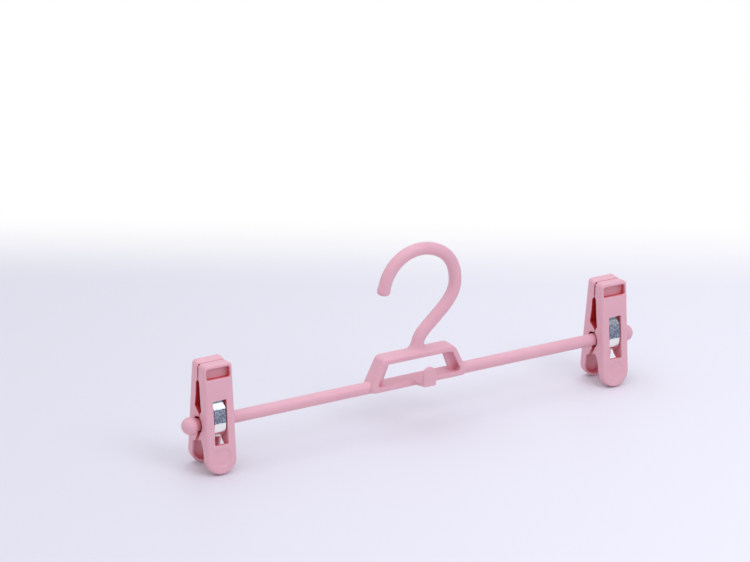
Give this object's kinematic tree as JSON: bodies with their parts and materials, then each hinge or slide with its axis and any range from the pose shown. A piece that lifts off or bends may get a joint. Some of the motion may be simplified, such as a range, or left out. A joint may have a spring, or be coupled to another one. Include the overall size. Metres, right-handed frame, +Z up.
{
  "type": "trouser hanger",
  "caption": "Slim moulded trouser hanger: open hook over a small frame and a round bar, with sprung pinch clips that slide and swivel on it.",
  "frame": {"origin": "floor level, under the middle of the whole object, as it stands on its four handle tips", "axes": "+X along the bar to the right-hand clip, +Y away from the side with the lug, +Z up to the hook"},
  "size_m": [0.31, 0.0312, 0.1134],
  "materials": {
    "pink_plastic": "satin moulded polypropylene, dusty pink",
    "spring_steel": "bright zinc-plated strip steel"
  },
  "bodies": {
    "hanger": {"hook": "pink_plastic", "frame": "pink_plastic", "lug": "pink_plastic", "left_bar": "pink_plastic", "right_bar": "pink_plastic"},
    "left_end": {"left_ball": "pink_plastic"},
    "left_front": {"left_front_jaw": "pink_plastic", "left_spring": "spring_steel"},
    "left_rear": {"left_rear_jaw": "pink_plastic"},
    "right_end": {"right_ball": "pink_plastic"},
    "right_front": {"right_front_jaw": "pink_plastic", "right_spring": "spring_steel"},
    "right_rear": {"right_rear_jaw": "pink_plastic"}
  },
  "joints": [
    {"name": "left_swivel", "type": "hinge", "parent": "hanger", "child": "left_end", "pos_m": [-0.1497, 0.00172, 0.0286], "axis": [1, 0, 0], "continuous": true},
    {"name": "left_slide", "type": "slide", "parent": "left_end", "child": "left_front", "axis": [1, 0, 0], "range_m": [0, 0.0932]},
    {"name": "left_open", "type": "hinge", "parent": "left_front", "child": "left_rear", "pos_m": [-0.13571, 0.00172, 0.0346], "axis": [-1, 0, 0], "range_deg": [0, 10], "stiffness_Nm_per_rad": 0.6, "springref_deg": -10.31, "deforming": ["left_spring"]},
    {"name": "right_swivel", "type": "hinge", "parent": "hanger", "child": "right_end", "pos_m": [0.1497, 0.00172, 0.0286], "axis": [1, 0, 0], "continuous": true},
    {"name": "right_slide", "type": "slide", "parent": "right_end", "child": "right_front", "axis": [-1, 0, 0], "range_m": [0, 0.0932]},
    {"name": "right_open", "type": "hinge", "parent": "right_front", "child": "right_rear", "pos_m": [0.13571, 0.00172, 0.0346], "axis": [-1, 0, 0], "range_deg": [0, 10], "stiffness_Nm_per_rad": 0.6, "springref_deg": -10.31, "deforming": ["right_spring"]}
  ]
}
